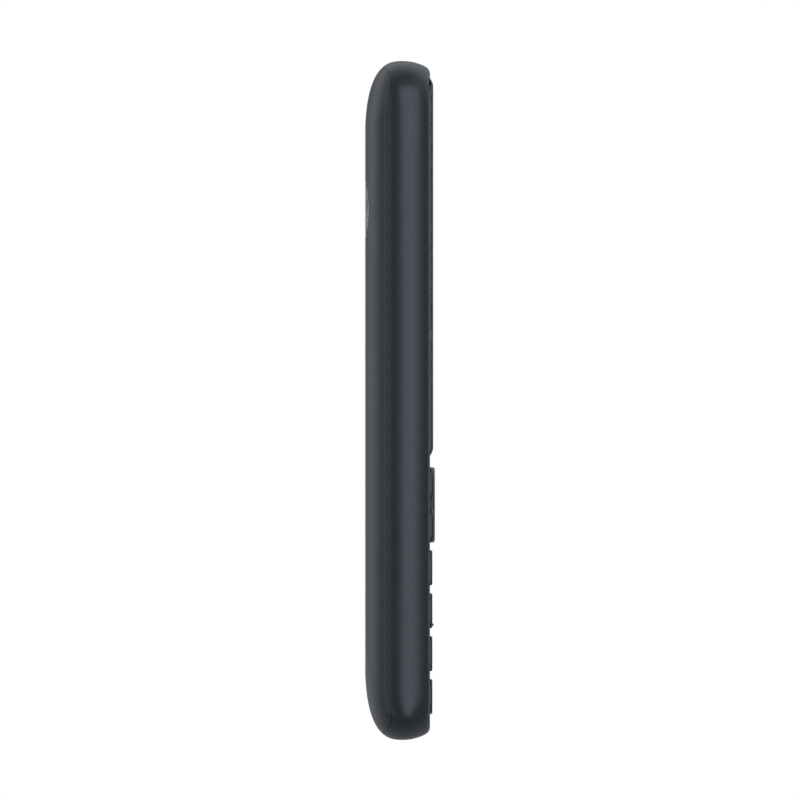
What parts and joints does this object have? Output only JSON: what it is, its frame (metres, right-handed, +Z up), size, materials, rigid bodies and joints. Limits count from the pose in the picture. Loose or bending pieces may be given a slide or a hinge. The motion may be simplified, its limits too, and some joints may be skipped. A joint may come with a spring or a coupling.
{
  "type": "keypad phone",
  "caption": "Slim upright keypad phone with a glass display lens, four-way pad, rounded back cover, removable battery and working keys.",
  "frame": {"origin": "bottom centre of the whole phone's box, standing upright", "axes": "+Z up along the height, +X out of the face with screen and keys, +Y to the user's right"},
  "size_m": [0.0134, 0.053, 0.1314],
  "materials": {
    "housing_plastic": "smooth matte, dark slate grey",
    "cover_plastic": "fine-textured matte, dark slate grey",
    "lens_glass": "clear glass with a black printed back",
    "window_glass": "dark clear glass",
    "key_plastic": "satin, dark grey with pale legends",
    "pad_plastic": "satin, dark grey",
    "chassis_plastic": "black matte",
    "display_glass": "dark display behind the lens",
    "soft_rubber": "soft matte rubber and foam",
    "dome_metal": "thin spring steel domes on film",
    "board_laminate": "green solder mask",
    "sheet_metal": "plain bright sheet metal",
    "screw_steel": "dark plated steel",
    "chip_resin": "black moulding resin",
    "battery_sleeve": "plain grey sleeve",
    "contact_brass": "gold-coloured contacts",
    "flex_film": "amber film",
    "flash_diffuser": "pale yellow diffuser"
  },
  "bodies": {
    "housing": {"front_housing": "housing_plastic", "display_lens": "lens_glass", "camera_lens": "window_glass", "chassis": "chassis_plastic", "battery_connector": "chassis_plastic", "charging_socket_tongue": "chassis_plastic", "headset_socket": "chassis_plastic", "camera_module": "chassis_plastic", "loudspeaker": "chassis_plastic", "earpiece": "chassis_plastic", "display_module": "display_glass", "keypad_mat": "soft_rubber", "microphone_boot": "soft_rubber", "speaker_gasket": "soft_rubber", "display_gasket": "soft_rubber", "lens_adhesive": "soft_rubber", "dome_sheet": "dome_metal", "circuit_board": "board_laminate", "lower_shield_can": "sheet_metal", "upper_shield_can": "sheet_metal", "sim_holder_1": "sheet_metal", "sim_holder_2": "sheet_metal", "memory_card_holder": "sheet_metal", "charging_socket": "sheet_metal", "vibration_motor": "sheet_metal", "earpiece_mesh": "sheet_metal", "microphone": "sheet_metal", "chassis_screws": "screw_steel", "processor_chip": "chip_resin", "memory_chip": "chip_resin", "radio_chip": "chip_resin", "power_chip": "chip_resin", "battery_contacts": "contact_brass", "display_flex": "flex_film", "antenna": "flex_film", "flash_led": "flash_diffuser"},
    "cover": {"back_cover": "cover_plastic", "camera_window": "window_glass"},
    "battery": {"battery": "battery_sleeve"},
    "rocker_plate": {"rocker_plate": "chassis_plastic"},
    "four_way_pad": {"four_way_pad": "pad_plastic"},
    "select_key": {"select_key": "pad_plastic"},
    "vibration_weight": {"vibration_weight": "screw_steel"},
    "key_1": {"key_1": "key_plastic"},
    "key_2": {"key_2": "key_plastic"},
    "key_3": {"key_3": "key_plastic"},
    "key_4": {"key_4": "key_plastic"},
    "key_5": {"key_5": "key_plastic"},
    "key_6": {"key_6": "key_plastic"},
    "key_7": {"key_7": "key_plastic"},
    "key_8": {"key_8": "key_plastic"},
    "key_9": {"key_9": "key_plastic"},
    "key_star": {"key_star": "key_plastic"},
    "key_0": {"key_0": "key_plastic"},
    "key_hash": {"key_hash": "key_plastic"},
    "soft_key_left": {"soft_key_left": "key_plastic"},
    "call_key": {"call_key": "key_plastic"},
    "soft_key_right": {"soft_key_right": "key_plastic"},
    "end_key": {"end_key": "key_plastic"}
  },
  "joints": [
    {"name": "cover_off", "type": "slide", "parent": "housing", "child": "cover", "axis": [-1, 0, 0], "range_m": [0, 0.03]},
    {"name": "battery_out", "type": "slide", "parent": "housing", "child": "battery", "axis": [-1, 0, 0], "range_m": [0, 0.015]},
    {"name": "rocker_up_down", "type": "hinge", "parent": "housing", "child": "rocker_plate", "pos_m": [0.00345, 0, 0.0455], "axis": [0, 1, 0], "range_deg": [-1.5, 1.5], "stiffness_Nm_per_rad": 0.26},
    {"name": "pad_left_right", "type": "hinge", "parent": "rocker_plate", "child": "four_way_pad", "pos_m": [0.00385, 0, 0.0455], "axis": [0, 0, 1], "range_deg": [-1.5, 1.5], "stiffness_Nm_per_rad": 0.26, "deforming": ["keypad_mat"]},
    {"name": "select_press", "type": "slide", "parent": "housing", "child": "select_key", "axis": [-1, 0, 0], "range_m": [0, 0.00025], "stiffness_N_per_m": 6000, "deforming": ["keypad_mat"]},
    {"name": "weight_spin", "type": "hinge", "parent": "housing", "child": "vibration_weight", "pos_m": [-0.00105, 0.0131, 0.113], "axis": [0, 1, 0], "continuous": true},
    {"name": "key_1_press", "type": "slide", "parent": "housing", "child": "key_1", "axis": [-1, 0, 0], "range_m": [0, 0.00025], "stiffness_N_per_m": 6000, "deforming": ["keypad_mat"]},
    {"name": "key_2_press", "type": "slide", "parent": "housing", "child": "key_2", "axis": [-1, 0, 0], "range_m": [0, 0.00025], "stiffness_N_per_m": 6000, "deforming": ["keypad_mat"]},
    {"name": "key_3_press", "type": "slide", "parent": "housing", "child": "key_3", "axis": [-1, 0, 0], "range_m": [0, 0.00025], "stiffness_N_per_m": 6000, "deforming": ["keypad_mat"]},
    {"name": "key_4_press", "type": "slide", "parent": "housing", "child": "key_4", "axis": [-1, 0, 0], "range_m": [0, 0.00025], "stiffness_N_per_m": 6000, "deforming": ["keypad_mat"]},
    {"name": "key_5_press", "type": "slide", "parent": "housing", "child": "key_5", "axis": [-1, 0, 0], "range_m": [0, 0.00025], "stiffness_N_per_m": 6000, "deforming": ["keypad_mat"]},
    {"name": "key_6_press", "type": "slide", "parent": "housing", "child": "key_6", "axis": [-1, 0, 0], "range_m": [0, 0.00025], "stiffness_N_per_m": 6000, "deforming": ["keypad_mat"]},
    {"name": "key_7_press", "type": "slide", "parent": "housing", "child": "key_7", "axis": [-1, 0, 0], "range_m": [0, 0.00025], "stiffness_N_per_m": 6000, "deforming": ["keypad_mat"]},
    {"name": "key_8_press", "type": "slide", "parent": "housing", "child": "key_8", "axis": [-1, 0, 0], "range_m": [0, 0.00025], "stiffness_N_per_m": 6000, "deforming": ["keypad_mat"]},
    {"name": "key_9_press", "type": "slide", "parent": "housing", "child": "key_9", "axis": [-1, 0, 0], "range_m": [0, 0.00025], "stiffness_N_per_m": 6000, "deforming": ["keypad_mat"]},
    {"name": "key_star_press", "type": "slide", "parent": "housing", "child": "key_star", "axis": [-1, 0, 0], "range_m": [0, 0.00025], "stiffness_N_per_m": 6000, "deforming": ["keypad_mat"]},
    {"name": "key_0_press", "type": "slide", "parent": "housing", "child": "key_0", "axis": [-1, 0, 0], "range_m": [0, 0.00025], "stiffness_N_per_m": 6000, "deforming": ["keypad_mat"]},
    {"name": "key_hash_press", "type": "slide", "parent": "housing", "child": "key_hash", "axis": [-1, 0, 0], "range_m": [0, 0.00025], "stiffness_N_per_m": 6000, "deforming": ["keypad_mat"]},
    {"name": "soft_key_left_press", "type": "slide", "parent": "housing", "child": "soft_key_left", "axis": [-1, 0, 0], "range_m": [0, 0.00025], "stiffness_N_per_m": 6000, "deforming": ["keypad_mat"]},
    {"name": "call_key_press", "type": "slide", "parent": "housing", "child": "call_key", "axis": [-1, 0, 0], "range_m": [0, 0.00025], "stiffness_N_per_m": 6000, "deforming": ["keypad_mat"]},
    {"name": "soft_key_right_press", "type": "slide", "parent": "housing", "child": "soft_key_right", "axis": [-1, 0, 0], "range_m": [0, 0.00025], "stiffness_N_per_m": 6000, "deforming": ["keypad_mat"]},
    {"name": "end_key_press", "type": "slide", "parent": "housing", "child": "end_key", "axis": [-1, 0, 0], "range_m": [0, 0.00025], "stiffness_N_per_m": 6000, "deforming": ["keypad_mat"]}
  ],
  "couplings": [
    {"joint": "battery_out", "follows": "cover_off", "ratio": 0.5}
  ]
}
